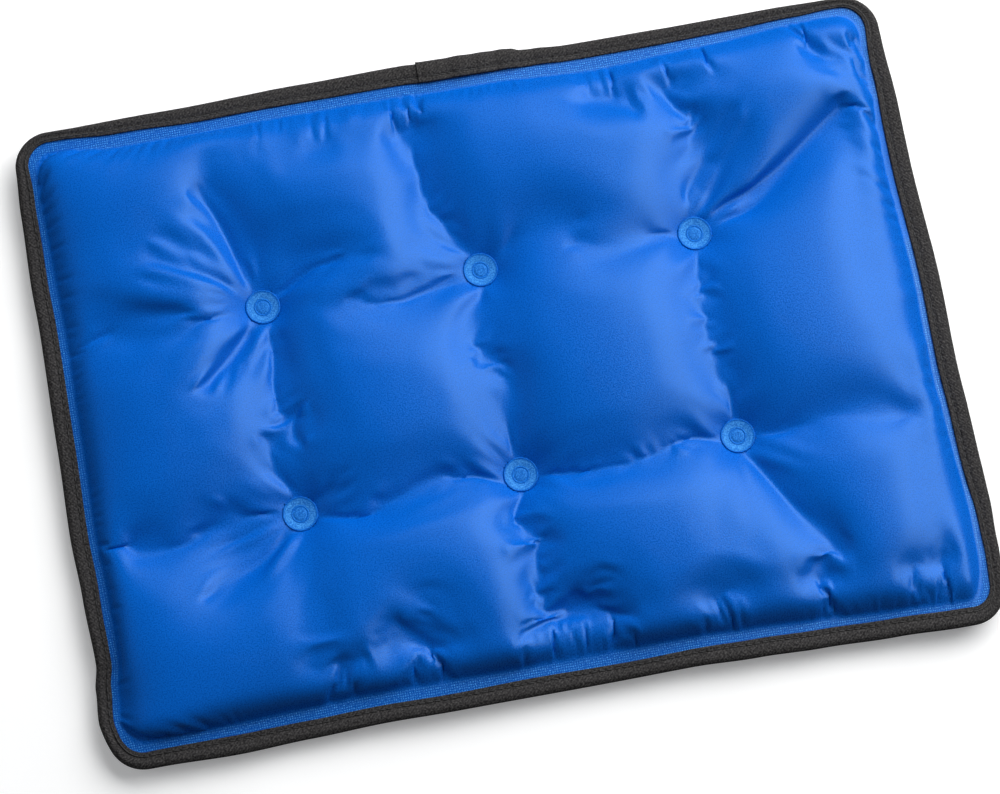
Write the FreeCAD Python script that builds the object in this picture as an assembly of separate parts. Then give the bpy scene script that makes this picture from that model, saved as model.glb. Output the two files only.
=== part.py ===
"""Gel laptop cooling pad: two coated-nylon sheets welded round the rim and at six tacks,
filled with cooling gel, with a woven tape folded and sewn over the raw edge.

Millimetres. +Z up, +X along the pad, +Y to the back, origin at the middle of the resting face.
"""

import FreeCAD
import Part

import math
import os

# Whole pad, over the binding
PAD_LENGTH = 370.0
PAD_DEPTH = 269.0
CROWN_Z = 21.0  # top of the filled body
CORNER_RADIUS = 15.0
LEAST_CORNER_RADIUS = 4.0  # for outlines a long way inside the edge

# Coated nylon sheets
SHEET = 0.45
SEAL = 0.2  # thickness of the fused coating between the sheets
WELD_PLANE_Z = 7.0  # the plane in which the two sheets meet
RIM_WIDTH = 13.0  # flat welded rim, from the pad's outer edge
TOP_EDGE_RADIUS = 11.0  # rounding of the filled body where it turns down to the rim
BOTTOM_EDGE_RADIUS = 5.5

# Tack welds: three columns by two rows
TACK_SPACING_X = 91.0
TACK_SPACING_Y = 87.4
TACK_GRID_CENTRE = (-2.6, 0.0)  # the welding die sat a little to the left
TACK_RADIUS = 7.25
TACK_LAND = 8.6  # radius of the flat ring of sheet round each weld
TOP_DIMPLE_RADIUS = 38.0
BOTTOM_DIMPLE_RADIUS = 33.0
DIMPLE_RIM_RISE = 0.4  # the dimple's curve ends this far over the crown, so it cuts a clean rim
BUTTON_RADIUS = 2.9  # unpressed middle of the weld
PRESSED_RADIUS = 6.5  # outside of the pressed ring
PRESSED_HALF = 0.3  # half thickness of the pressed ring
BEAD_HALF = 0.8  # half thickness at the bead squeezed out round the ring
WELD_SLOPE = 0.4  # run of the sloped step at each side of the pressed ring

# Filling port in the right-hand rim, closed after filling
PORT_LOW_Y = 25.0
PORT_HIGH_Y = 89.0

# Edge binding
TAPE = 0.8
BINDING_WIDTH = 7.8
FOLD_FLAT = 0.1  # height of the flat left at the very edge of the fold
LAP_START_X = -12.75  # the tape's finishing end, on the back edge
LAP_LENGTH = 44.0
LAP_EDGE_RADIUS = 1.9

# Lockstitch through the binding
STITCH_FROM_TAPE_EDGE = 2.3
STITCH_PITCH = 3.5
STITCH_LENGTH = 2.5
STITCH_WIDTH = 0.5
STITCH_HEIGHT = 0.25

# Cooling gel
GEL_CLEARANCE = 0.1

CUT_MARGIN = 2.0  # how far a cutting solid runs past what it cuts
SAME = 1e-6

# Heights above or below the weld plane
SHEET_BACK = SEAL / 2
SHEET_FACE = SHEET_BACK + SHEET
BINDING_FACE = SHEET_FACE + TAPE

UPWARD = 1
DOWNWARD = -1
CENTRE = FreeCAD.Vector(0, 0, 0)
VERTICAL = FreeCAD.Vector(0, 0, 1)


def outline(inset):
    """Wire of the pad's rounded rectangle, moved in by inset."""
    hx = PAD_LENGTH / 2 - inset
    hy = PAD_DEPTH / 2 - inset
    radius = max(CORNER_RADIUS - inset, LEAST_CORNER_RADIUS)
    cut = radius * (1 - math.sqrt(0.5))  # from each side to the corner arc's middle
    point = FreeCAD.Vector
    corners = [
        (point(hx - radius, hy), point(hx - cut, hy - cut), point(hx, hy - radius)),
        (point(hx, radius - hy), point(hx - cut, cut - hy), point(hx - radius, -hy)),
        (point(radius - hx, -hy), point(cut - hx, cut - hy), point(-hx, radius - hy)),
        (point(-hx, hy - radius), point(cut - hx, hy - cut), point(radius - hx, hy)),
    ]
    edges = []
    for i, (start, middle, end) in enumerate(corners):
        next_start = corners[(i + 1) % len(corners)][0]
        edges.append(Part.Arc(start, middle, end).toShape())
        edges.append(Part.LineSegment(end, next_start).toShape())
    return Part.Wire(edges)


def plate(inset, z_low, z_high):
    """Flat plate with the pad's outline, moved in by inset."""
    face = Part.Face(outline(inset))
    face.translate(FreeCAD.Vector(0, 0, z_low))
    return face.extrude(FreeCAD.Vector(0, 0, z_high - z_low))


def block(low, high):
    """Upright box between two corners."""
    size = FreeCAD.Vector(*high) - FreeCAD.Vector(*low)
    return Part.makeBox(size.x, size.y, size.z, FreeCAD.Vector(*low))


def disc(x, y, radius, z_low, z_high):
    return Part.makeCylinder(radius, z_high - z_low, FreeCAD.Vector(x, y, z_low))


def edges_at(shape, z):
    """The edges of a shape that lie flat at height z."""
    boxes = [(edge, edge.BoundBox) for edge in shape.Edges]
    return [edge for edge, box in boxes if abs(box.ZMin - z) < SAME and abs(box.ZMax - z) < SAME]


def tack_centres():
    """Name and place of each tack weld."""
    found = []
    for row, y_side in (("front", -0.5), ("back", 0.5)):
        for column, x_side in (("left", -1), ("middle", 0), ("right", 1)):
            x = TACK_GRID_CENTRE[0] + x_side * TACK_SPACING_X
            y = TACK_GRID_CENTRE[1] + y_side * TACK_SPACING_Y
            found.append((row + "_" + column, x, y))
    return found


def dimple(x, y, mouth_radius, crown, inward, side):
    """Solid that fills one dimple over a tack: an ogee of two equal arcs turned round the tack.

    crown is the height above the weld plane of the filled body that it dents. inward moves
    the ogee into the filling. side is UPWARD for the upper sheet, DOWNWARD for the lower.
    """
    rim = crown + DIMPLE_RIM_RISE
    rise = rim - SHEET_FACE
    run = mouth_radius - TACK_LAND
    radius = (run * run + rise * rise) / (4 * rise)
    turn = 2 * math.atan2(rise, run)
    foot_radius = radius + inward
    rim_radius = radius - inward

    def point(r, height):
        return FreeCAD.Vector(r, 0, WELD_PLANE_Z + side * height)

    def foot(angle):
        height = SHEET_FACE + radius - foot_radius * math.cos(angle)
        return point(TACK_LAND + foot_radius * math.sin(angle), height)

    def shoulder(angle):
        height = rim - radius + rim_radius * math.cos(angle)
        return point(mouth_radius - rim_radius * math.sin(angle), height)

    def line(start, end):
        return Part.LineSegment(start, end).toShape()

    axis_low = point(0, SHEET_FACE - inward)
    axis_high = point(0, rim + CUT_MARGIN)
    outer_high = point(mouth_radius, rim + CUT_MARGIN)
    profile = [
        line(axis_low, foot(0)),
        Part.Arc(foot(0), foot(turn / 2), foot(turn)).toShape(),
        Part.Arc(shoulder(turn), shoulder(turn / 2), shoulder(0)).toShape(),
        line(shoulder(0), outer_high),
        line(outer_high, axis_high),
        line(axis_high, axis_low),
    ]
    solid = Part.Face(Part.Wire(profile)).revolve(CENTRE, VERTICAL, 360)
    solid.translate(FreeCAD.Vector(x, y, 0))
    return solid


def filled_half(side, inward, foot):
    """Upper or lower half of the filled body, moved in from the sheet's outer face by inward.

    foot is the height above the weld plane from which the half starts.
    """
    if side == UPWARD:
        crown, edge_radius, mouth_radius = CROWN_Z - WELD_PLANE_Z, TOP_EDGE_RADIUS, TOP_DIMPLE_RADIUS
    else:
        crown, edge_radius, mouth_radius = WELD_PLANE_Z, BOTTOM_EDGE_RADIUS, BOTTOM_DIMPLE_RADIUS
    z_foot = WELD_PLANE_Z + side * foot
    z_crown = WELD_PLANE_Z + side * (crown - inward)
    half = plate(RIM_WIDTH + inward, min(z_foot, z_crown), max(z_foot, z_crown))
    half = half.makeFillet(edge_radius - inward, edges_at(half, z_crown))
    for _, x, y in tack_centres():
        half = half.cut(dimple(x, y, mouth_radius, crown, inward, side))
    return half


def cover(side):
    """One coated-nylon sheet: flat rim, skin of the filled half, and a hole at each tack."""
    rim_faces = sorted((WELD_PLANE_Z + side * SHEET_BACK, WELD_PLANE_Z + side * SHEET_FACE))
    rim = plate(TAPE, *rim_faces)
    skin = rim.fuse(filled_half(side, 0.0, SHEET_BACK)).cut(filled_half(side, SHEET, -CUT_MARGIN))
    for _, x, y in tack_centres():
        skin = skin.cut(disc(x, y, TACK_RADIUS, WELD_PLANE_Z - CUT_MARGIN, WELD_PLANE_Z + CUT_MARGIN))
    return skin.removeSplitter()


def cooling_gel():
    """The filling: everything between the two sheets, just clear of both."""
    inward = SHEET + GEL_CLEARANCE
    gel = filled_half(UPWARD, inward, 0.0).fuse(filled_half(DOWNWARD, inward, 0.0))
    for _, x, y in tack_centres():
        gel = gel.cut(disc(x, y, TACK_LAND, 0, CROWN_Z))
    return gel.removeSplitter()


def seal_ring():
    """Fused coating between the sheets, all round the rim."""
    low, high = WELD_PLANE_Z - SHEET_BACK, WELD_PLANE_Z + SHEET_BACK
    return plate(TAPE, low, high).cut(plate(RIM_WIDTH, low, high))


def port_block():
    """Block over the filling port in the right-hand rim."""
    return block((PAD_LENGTH / 4, PORT_LOW_Y, 0), (PAD_LENGTH, PORT_HIGH_Y, CROWN_Z))


def tack_weld(x, y):
    """Disc in which both sheets are fused: raised button, pressed ring and squeezed-out bead."""
    upper = [
        (0, SHEET_FACE),
        (BUTTON_RADIUS, SHEET_FACE),
        (BUTTON_RADIUS + WELD_SLOPE, PRESSED_HALF),
        (PRESSED_RADIUS, PRESSED_HALF),
        (PRESSED_RADIUS + WELD_SLOPE, BEAD_HALF),
        (TACK_RADIUS, SHEET_FACE),
    ]
    section = upper + [(r, -height) for r, height in reversed(upper)]
    points = [FreeCAD.Vector(r, 0, WELD_PLANE_Z + height) for r, height in section]
    weld = Part.Face(Part.makePolygon(points + points[:1])).revolve(CENTRE, VERTICAL, 360)
    weld.translate(FreeCAD.Vector(x, y, 0))
    return weld


def edge_binding():
    """Woven tape folded over the rim, with its finishing end lapped over its start."""
    low, high = WELD_PLANE_Z - BINDING_FACE, WELD_PLANE_Z + BINDING_FACE
    tape = plate(0.0, low, high)
    tape = tape.makeFillet(BINDING_FACE - FOLD_FLAT / 2, edges_at(tape, low) + edges_at(tape, high))

    edge_y = PAD_DEPTH / 2
    lap_low = (LAP_START_X, edge_y - BINDING_WIDTH - CUT_MARGIN, low - TAPE)
    lap_high = (LAP_START_X + LAP_LENGTH, edge_y + TAPE, high + TAPE)
    lap = block(lap_low, lap_high)
    outer_edges = [e for e in lap.Edges if e.BoundBox.YMin > edge_y and e.BoundBox.XLength > TAPE]
    lap = lap.makeFillet(LAP_EDGE_RADIUS, outer_edges)

    folded = tape.fuse(lap)
    folded = folded.cut(plate(TAPE, WELD_PLANE_Z - SHEET_FACE, WELD_PLANE_Z + SHEET_FACE))
    folded = folded.cut(plate(BINDING_WIDTH, low - CUT_MARGIN, high + CUT_MARGIN))
    return folded.removeSplitter()


def on_lap(place, margin):
    """Whether a place on the stitch line is on the lapped tape, or within margin of it."""
    along = LAP_START_X - margin < place.x < LAP_START_X + LAP_LENGTH + margin
    return along and place.y > 0


def stitches(side):
    """The stitches that show on one face of the binding, each a short bar of thread."""
    line = outline(BINDING_WIDTH - STITCH_FROM_TAPE_EDGE)
    count = round(line.Length / STITCH_PITCH)
    places = line.discretize(Number=2 * count + 1)
    bars = []
    for middle, ahead in zip(places[1::2], places[2::2]):
        lapped = on_lap(middle, STITCH_PITCH)
        if lapped and not on_lap(middle, -STITCH_PITCH):
            continue  # the needle steps over the end of the lap here
        face = BINDING_FACE + (TAPE if lapped else 0.0)
        height = face if side == UPWARD else -face - STITCH_HEIGHT
        half_length, half_width = STITCH_LENGTH / 2, STITCH_WIDTH / 2
        bar = block((-half_length, -half_width, 0), (half_length, half_width, STITCH_HEIGHT))
        bar.rotate(CENTRE, VERTICAL, math.degrees(math.atan2(ahead.y - middle.y, ahead.x - middle.x)))
        bar.translate(middle + FreeCAD.Vector(0, 0, WELD_PLANE_Z + height))
        bars.append(bar)
    return Part.makeCompound(bars)


def export(name, shape):
    """Write one node's solids to parts/, and say what they are."""
    solids = shape.Solids
    sound = all(solid.isValid() and solid.Volume > 0 for solid in solids)
    node = solids[0] if len(solids) == 1 else Part.makeCompound(solids)
    node.exportStep(os.path.join("parts", name + ".step"))
    print(name, len(solids), "solids", round(node.Volume / 1000, 3), "cm3", "ok" if sound else "INVALID")


def main():
    os.makedirs("parts", exist_ok=True)
    export("top_cover", cover(UPWARD))
    export("bottom_cover", cover(DOWNWARD))
    export("cooling_gel", cooling_gel())
    export("rim_seal", seal_ring().cut(port_block()))
    export("fill_port_seal", seal_ring().common(port_block()))
    for name, x, y in tack_centres():
        export("tack_weld_" + name, tack_weld(x, y))
    export("edge_binding", edge_binding())
    export("needle_thread", stitches(UPWARD))
    export("bobbin_thread", stitches(DOWNWARD))


main()
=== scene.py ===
"""Gel laptop cooling pad: the looks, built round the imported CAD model.

Shapes are worked out in millimetres and turned into metres when a mesh is made. Heights of
the two sheets are measured outwards from the weld plane, up for the upper sheet and down for
the lower one, so that one cloth solver serves both.
"""
import math

import bpy
import numpy as np
from mathutils import Matrix, Vector


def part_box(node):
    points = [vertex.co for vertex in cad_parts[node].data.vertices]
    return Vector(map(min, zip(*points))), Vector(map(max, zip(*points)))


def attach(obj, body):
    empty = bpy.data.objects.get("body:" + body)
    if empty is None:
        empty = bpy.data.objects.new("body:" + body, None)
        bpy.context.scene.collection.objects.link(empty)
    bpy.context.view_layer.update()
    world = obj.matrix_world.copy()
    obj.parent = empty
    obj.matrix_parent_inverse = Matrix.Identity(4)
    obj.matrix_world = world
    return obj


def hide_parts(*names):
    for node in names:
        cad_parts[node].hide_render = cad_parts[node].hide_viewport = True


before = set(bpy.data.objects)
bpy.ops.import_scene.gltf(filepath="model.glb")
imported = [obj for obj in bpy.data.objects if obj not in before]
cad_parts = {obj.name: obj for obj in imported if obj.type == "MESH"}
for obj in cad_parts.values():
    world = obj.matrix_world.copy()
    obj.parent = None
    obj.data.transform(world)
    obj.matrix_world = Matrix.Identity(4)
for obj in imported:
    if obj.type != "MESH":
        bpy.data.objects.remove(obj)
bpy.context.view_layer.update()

MM = 0.001


def box_mm(node):
    """Lowest and highest corner of a CAD node, in millimetres."""
    low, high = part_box(node)
    return np.array(low) / MM, np.array(high) / MM


# ------------ sizes, from the frame
TACK_NODES = [name for name in sorted(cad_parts) if name.startswith("tack_weld_")]
TACK_BOXES = {name: box_mm(name) for name in TACK_NODES}
TACKS = {name: (low + high) / 2 for name, (low, high) in TACK_BOXES.items()}
TACK_RADIUS = float(np.mean([(high - low)[0] / 2 for low, high in TACK_BOXES.values()]))
WELD_Z = float(np.mean([centre[2] for centre in TACKS.values()]))

HALF_LENGTH = float(box_mm("edge_binding")[1][0])
HALF_DEPTH = float(-box_mm("edge_binding")[0][1])
PORT_LOW_Y, PORT_HIGH_Y = (float(corner[1]) for corner in box_mm("fill_port_seal"))

SHEET = 0.45  # one coated sheet
SEAL_HALF = 0.1  # half of the fused coating
SHEET_FACE = SEAL_HALF + SHEET  # from the weld plane to a sheet's outer face
CORNER = 15.0  # radius of the pad's outline
SHEET_INSET = 0.9  # the sheets end this far inside the tape's fold

OUTLINE = (-HALF_LENGTH, HALF_LENGTH, -HALF_DEPTH, HALF_DEPTH)  # left, right, front, back
ROUNDED = 16.0  # corner radius of the outline that the filled part follows

# ------------ the cloth's own settings
LEVELS = ((64, 47, 500), (128, 94, 320), (256, 188, 200), (384, 282, 130))  # columns, rows, steps
LOWER_LEVELS = ((64, 47, 350), (128, 94, 220))
EXCESS = 1.016  # how much longer the flat cloth is than the outline that it is sewn to
LOWER_EXCESS = 1.012
RIM_REACH = 12.0  # how far in the extra cloth of the rounded flanks goes
RIM_ACROSS = {  # extra cloth across each flank, as a share
    "back": ((-165, 0.3), (165, 0.3)),
    "front": ((-165, 0.85), (-60, 0.8), (165, 0.7)),
    "left": ((-125, 0.22), (122, 0.22)),
    "right": ((-122, 0.22), (120, 0.25)),
}
RIM_ALONG = 0.05  # extra cloth along the flanks, which gathers them
CORNER_TUCK = 0.15  # cloth drawn in along the flank where it turns a corner
RIM_PRESSURE = 3.0  # the filling pushes harder under the crest of the flanks
CREST = 8.0  # how far in from the rim the flank turns over into the top
CREST_WIDTH = 4.0
PRESSURE = 0.0016  # how hard the filling pushes at the height of the weld plane
PRESSURE_FADE = 20.0  # height at which the filling would no longer push
DAMPING = 0.97  # share of a point's speed kept from one step to the next
SHEAR = 0.6  # stiffness of the diagonal springs
BEND = 0.04
CREASE = 0.3  # sharpness at which a bend goes soft, as a share of the mesh's spacing
FOLD_STRENGTH = 1.5  # multiplies every fold's extra cloth and lift
START_DOME = 6.0  # height that the sheet starts from, in the middle of the pocket
START_NOISE = 0.4  # unevenness that lets it choose where to crease
LIFTED_FOR = 0.6  # share of the steps in which the folds are still being lifted
WELD_PULL = 0.12  # how firmly the welded rim is drawn to its plane, each step
SLACK_DOWN = 0.3  # how far the sheet may sag below its flat height
SEED = 3


def smooth(t):
    """Ramp from 0 to 1 with level ends."""
    t = np.clip(t, 0, 1)
    return t * t * (3 - 2 * t)


def inside(x, y, rect, radius):
    """Distance in from the edge of a rounded rectangle, negative outside it."""
    left, right, front, back = rect
    qx = np.abs(x - (left + right) / 2) - ((right - left) / 2 - radius)
    qy = np.abs(y - (front + back) / 2) - ((back - front) / 2 - radius)
    out = np.hypot(np.maximum(qx, 0), np.maximum(qy, 0)) + np.minimum(np.maximum(qx, qy), 0)
    return radius - out


def between(at, knots):
    """Smoothly joined values along one side, from (place, value) pairs."""
    places, values = (np.array(column, float) for column in zip(*knots))
    at = np.clip(at, places[0], places[-1])
    i = np.clip(np.searchsorted(places, at) - 1, 0, len(places) - 2)
    share = smooth((at - places[i]) / (places[i + 1] - places[i]))
    return values[i] + (values[i + 1] - values[i]) * share


# Along each side: the tape's width on the face, and the distance from the fold to the filling
TAPE_WIDTH = {
    "back": (
        (-165, 4.5), (-140, 6.3), (-100, 7.5), (-60, 8), (-10, 8.6), (15, 8.5),
        (45, 7.4), (80, 7.2), (120, 6.5), (150, 5.5), (165, 4.5),
    ),
    "front": (
        (-165, 6.9), (-135, 7.7), (-100, 7.3), (-45, 7.0), (-15, 7.5), (30, 6.9),
        (75, 7.6), (165, 7.5),
    ),
    "left": ((-125, 5.8), (-90, 6.3), (-45, 7.2), (15, 7.3), (75, 7.0), (105, 6.5), (122, 5.5)),
    "right": ((-122, 5.9), (-105, 6.2), (-70, 8.3), (0, 8.5), (75, 8.5), (100, 7.6), (120, 6.2)),
}
RIM_WIDTH = {
    "back": ((-165, 9.5), (-140, 12.5), (0, 13.4), (70, 13.0), (100, 11.5), (165, 8.0)),
    "front": ((-165, 10.5), (-130, 12.0), (0, 11.8), (70, 11.8), (165, 10.0)),
    "left": ((-122, 8.5), (-60, 10.0), (60, 10.0), (122, 8.5)),
    "right": ((-122, 9.0), (-40, 11.3), (60, 11.3), (120, 9.0)),
}
# How far the sewn edge bulges out of its straight line, side by side
BACK_BULGE = (
    (-165, -2.1), (-120, -0.9), (-60, 1.2), (-20, 1.9), (-8, 1.2), (22, 1.2),
    (36, 0.3), (50, -0.4), (90, -0.2), (140, 0.4), (165, 0.1),
)
FRONT_BULGE = (
    (-165, -0.8), (-135, 0), (-105, -0.9), (-75, -1.6), (-45, -1.1), (20, -0.9),
    (50, -1.0), (78, 0.1), (105, 1.1), (135, 2.2), (165, 3.4),
)
LEFT_BULGE = (
    (-125, -0.5), (-112, 1.6), (-100, 0.8), (-89, -1), (-62, 0), (-37, 1),
    (0, 0.3), (50, -0.3), (68, 0.1), (100, -0.5), (120, -1.4),
)
RIGHT_BULGE = (
    (-122, -1.6), (-104, -0.2), (-87, 0.9), (-50, 0.6), (-32, 0.1), (12, 1.3),
    (60, 0.2), (87, 0.4), (112, -0.6),
)
# How far it lies above or below the weld plane
BACK_LIFT = ((-165, 1.2), (-120, 0.2), (-60, -0.5), (0, 0.6), (60, -0.4), (120, 0.3), (165, 1.6))
FRONT_LIFT = ((-165, 0.6), (-110, -0.6), (-50, 0.3), (10, -0.5), (70, 0.4), (120, -0.2), (165, 1.2))
LEFT_LIFT = ((-125, 0.6), (-105, -1.0), (-85, 0.8), (-40, -0.3), (30, 0.4), (90, -0.2), (122, 1.2))
RIGHT_LIFT = ((-122, 1.2), (-80, -0.3), (-20, 0.4), (40, -0.5), (90, 0.4), (118, 1.6))


def along_edge(x, y, sides):
    """A measure given side by side, blended from one side into the next at the corners."""
    from_side = (HALF_LENGTH - np.abs(x)) - (HALF_DEPTH - np.abs(y))
    share = smooth(0.5 + from_side / 30)
    lengthwise = np.where(y > 0, between(x, sides["back"]), between(x, sides["front"]))
    endwise = np.where(x > 0, between(y, sides["right"]), between(y, sides["left"]))
    return share * lengthwise + (1 - share) * endwise


def past_tape(x, y):
    """Distance in from the tape's edge on the face of the flat pad."""
    return inside(x, y, OUTLINE, CORNER) - along_edge(x, y, TAPE_WIDTH)


def past_rim(x, y):
    """Distance in from the welded rim, to where the filling is."""
    return inside(x, y, OUTLINE, ROUNDED) - along_edge(x, y, RIM_WIDTH)


def sewn_edge(x, y):
    """Where the sewn edge's waves put a point of the flat pad: shift in x, y and height."""
    side_y = smooth((np.abs(y) / HALF_DEPTH - 0.55) / 0.45)
    side_x = smooth((np.abs(x) / HALF_LENGTH - 0.62) / 0.38)
    shift_y = side_y * np.where(y > 0, between(x, BACK_BULGE), -between(x, FRONT_BULGE))
    shift_x = side_x * np.where(x > 0, between(y, RIGHT_BULGE), -between(y, LEFT_BULGE))
    lift_y = np.where(y > 0, between(x, BACK_LIFT), between(x, FRONT_LIFT))
    lift_x = np.where(x > 0, between(y, RIGHT_LIFT), between(y, LEFT_LIFT))
    total = side_x + side_y + 1e-6
    lift = (side_x * lift_x + side_y * lift_y) / total * np.maximum(side_x, side_y)
    return shift_x, shift_y, lift


# ------------ folds, placed one by one
# Each is a path over the flat pad, its half width, the extra cloth across it, and how far it
# first stands up or, when negative, dips.
FOLDS = [
    # from the back edge to the middle tack, and on to the front edge
    (((-26, 120), (-22.5, 107), (-21.5, 97), (-19, 84),
      (-19, 74), (-17, 65), (-11, 59), (-4, 52)), 3.5, 0.12, -5),
    (((-3, 36), (-6, 26), (-10, 17), (-12, 7), (-11.5, 0)), 3, 0.1, -4),
    (((-3, 12), (-1, 1), (-2, -9), (-3, -17), (-5, -27), (-4.5, -36)), 3, 0.1, -4),
    (((-5, -51), (-8, -62), (-4, -70), (-1.5, -75), (-4, -86),
      (-4, -96), (-2, -106), (0, -114), (3, -121)), 3, 0.1, -4),
    # between the two right-hand tacks: a narrow pleat with a valley on each side
    (((90, 35), (86, 25), (84, 19), (86, 9), (86, -1),
      (84, -8), (86, -17), (89, -28), (90, -37)), 3, 0.12, -4),
    (((84, 29), (81, 22), (80, 13), (80.5, -1), (80, -7), (81.5, -17), (85, -25)), 2, 0.05, -1),
    # from the back right tack: pleat to the right-hand edge, and spokes to the back edge
    (((98, 46), (113, 54), (128, 64), (142, 73), (156, 83), (166, 90)), 3.2, 0.26, -8),
    (((108, 57), (117, 65), (131, 76), (144, 85), (155, 92), (163, 96)), 2.5, 0.1, 5),
    (((91, 52), (96, 63), (103, 74), (111, 84), (119, 94)), 3.5, 0.07, -3),
    (((92, 120), (89, 109), (90, 98), (96, 89), (93, 78), (88, 67), (87, 55)), 3.5, 0.1, -3),
    (((64, 120), (66, 110), (69, 102), (74, 95)), 3, 0.08, -3),
    # from the front right tack
    (((92, -52), (96, -63), (101, -74), (109, -86), (117, -96), (123, -101)), 3.5, 0.09, -3),
    (((97, -44), (108, -47), (118, -43), (128, -41),
      (140, -42.5), (152, -46), (162, -51)), 3, 0.09, -3),
    (((84, -53), (82, -67), (77, -73), (77, -85), (72, -95)), 2.5, 0.04, -1),
    # along the back row of tacks
    (((6, 49), (20, 56), (33, 57.5), (46, 57)), 3.5, 0.06, -3),
    (((30, 44), (38, 42), (48, 41), (58, 43), (70, 45), (80, 46)), 2.5, 0.07, -3),
    (((-88, 49), (-79, 53), (-68, 55.5), (-57, 56.5)), 3, 0.13, -10),
    (((-84, 44), (-76, 48), (-68, 50), (-60, 48.5),
      (-50, 43), (-41, 40), (-33, 42), (-25, 47)), 3, 0.05, 5),
    (((-60, 42), (-50, 37), (-40, 34), (-31, 37), (-22, 42), (-12, 44)), 3, 0.1, -7),
    # along the front row of tacks
    (((-84, -47), (-70, -49.5), (-58, -48.5), (-47, -45),
      (-38, -43), (-28, -42), (-13, -44)), 3, 0.08, -3),
    (((-66, -42), (-57, -43), (-45, -38), (-35, -36), (-27, -38)), 2.5, 0.04, -1.5),
    (((8, -44), (20, -48), (29, -48), (38, -47),
      (48, -48), (56, -45), (63, -42), (79, -44)), 3, 0.09, -4),
    # star round the back left tack
    (((-115, 98), (-109, 88), (-104, 78), (-101, 68), (-99, 60), (-97, 53)), 4, 0.12, -7),
    (((-123, 92), (-117, 82), (-112, 71), (-107, 60), (-101, 52)), 4.5, 0.05, 5),
    (((-137, 77), (-126, 69), (-115, 61), (-104, 53)), 4, 0.08, -5),
    (((-142, 63), (-131, 56), (-119, 50), (-108, 47)), 4, 0.06, 6),
    (((-166, 40), (-150, 43), (-136, 41), (-124, 41), (-112, 41)), 3.5, 0.07, -4),
    (((-99, 36), (-104, 29), (-111, 25), (-117, 18), (-121, 10)), 3.5, 0.12, -8),
    (((-103, 40), (-111, 35), (-118, 29), (-124, 20), (-127, 12)), 4, 0.05, 5),
    (((-92, 35), (-93.5, 27), (-94.5, 17), (-95, 7), (-95, -1), (-92, -10)), 3.5, 0.12, -7),
    (((-98, 34), (-101, 24), (-103, 14), (-104, 4), (-104, -6)), 4, 0.05, 4),
    (((-103, -8), (-102, -16), (-99, -26), (-96, -35)), 3, 0.1, -4),
    (((-85, 0), (-85.5, -9), (-87, -18)), 2.5, 0.09, -3),
    # star round the front left tack
    (((-170, -45), (-152, -47), (-140, -50), (-131, -49), (-120, -44), (-101, -42)), 3, 0.13, -4),
    (((-122, -31), (-128, -39), (-135, -47)), 2.5, 0.09, -3),
    (((-99, -50), (-108, -56), (-117, -62), (-128, -69), (-138, -73)), 3, 0.13, -4),
    (((-95, -51), (-96, -63), (-96, -76), (-95, -89), (-98, -101)), 3, 0.06, -2),
    (((-87, -38), (-78, -34), (-70, -30)), 3, 0.05, -2),
    # pinches in the front edge
    (((-99, -99), (-95, -109), (-92, -121)), 2.2, 0.08, -2.6),
    (((-83, -109), (-82, -122)), 2.2, 0.07, -2),
    (((-64, -95), (-61, -107), (-57, -121)), 2.7, 0.11, -3.9),
    (((-52, -83), (-46, -97), (-43, -111)), 3.6, 0.04, -2),
    (((-49, -110), (-48, -122)), 2.2, 0.08, -2.6),
    (((-17, -110), (-16, -122)), 2.2, 0.07, -2),
    (((9, -97), (8.5, -109), (8, -122)), 2.7, 0.13, -5.2),
    (((21, -87), (21.5, -99), (19, -113), (21, -122)), 2.7, 0.07, -2.6),
    (((31, -113), (31, -123)), 2.2, 0.07, -2),
    (((56, -111), (57, -123)), 2.2, 0.07, -2),
    (((70, -107), (72, -122)), 2.7, 0.11, -3.9),
    (((108, -99), (108.5, -111), (110, -123)), 2.7, 0.11, -3.9),
    (((138, -108), (143, -115), (153, -125)), 2.7, 0.04, -2),
    (((162, -101), (160, -111), (158, -124)), 2.7, 0.06, -2),
    # pinches in the back edge
    (((-84, 121), (-82, 113)), 2.5, 0.06, -1.5),
    (((-69, 106), (-60, 111), (-52, 118)), 3, 0.07, -2),
    (((-46, 121), (-42, 113)), 2.5, 0.07, -2),
    (((-15, 121), (-12, 112)), 2.5, 0.07, -2),
    (((44, 100), (49, 108), (54, 118)), 3, 0.07, -2),
    (((107, 122), (107, 111)), 3, 0.08, -2),
    (((147, 123), (152, 115), (156, 108)), 3, 0.09, -2.5),
    (((13, 122), (16, 116)), 2, 0.05, -1),
    (((28, 122), (30, 116)), 2, 0.05, -1),
    # long folds beside the right-hand edge
    (((168, 59), (165, 44), (164, 29), (165.5, 14), (165, 1), (169, -6)), 2.5, 0.05, -1),
    (((169, -12), (167, -23), (167.5, -41), (168, -55),
      (166, -71), (165.5, -89), (168, -103), (169, -115)), 2.5, 0.05, -1),
    (((173, 118), (171, 107), (170, 97), (172, 89)), 2.5, 0.08, -2),
]


def curve_through(points, steps=6):
    """A smooth path through a few points."""
    p = np.array(points, float)
    q = np.vstack([2 * p[0] - p[1], p, 2 * p[-1] - p[-2]])
    share = (np.arange(steps) / steps)[:, None]
    legs = [cubic(q[i - 1], q[i], q[i + 1], q[i + 2], share) for i in range(1, len(q) - 2)]
    return np.vstack(legs + [p[-1:]])


def cubic(before, start, end, after, share):
    """Cubic that runs smoothly from start to end."""
    bend = 2 * before - 5 * start + 4 * end - after + share * (3 * (start - end) + after - before)
    return start + 0.5 * share * (end - before + share * bend)


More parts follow.
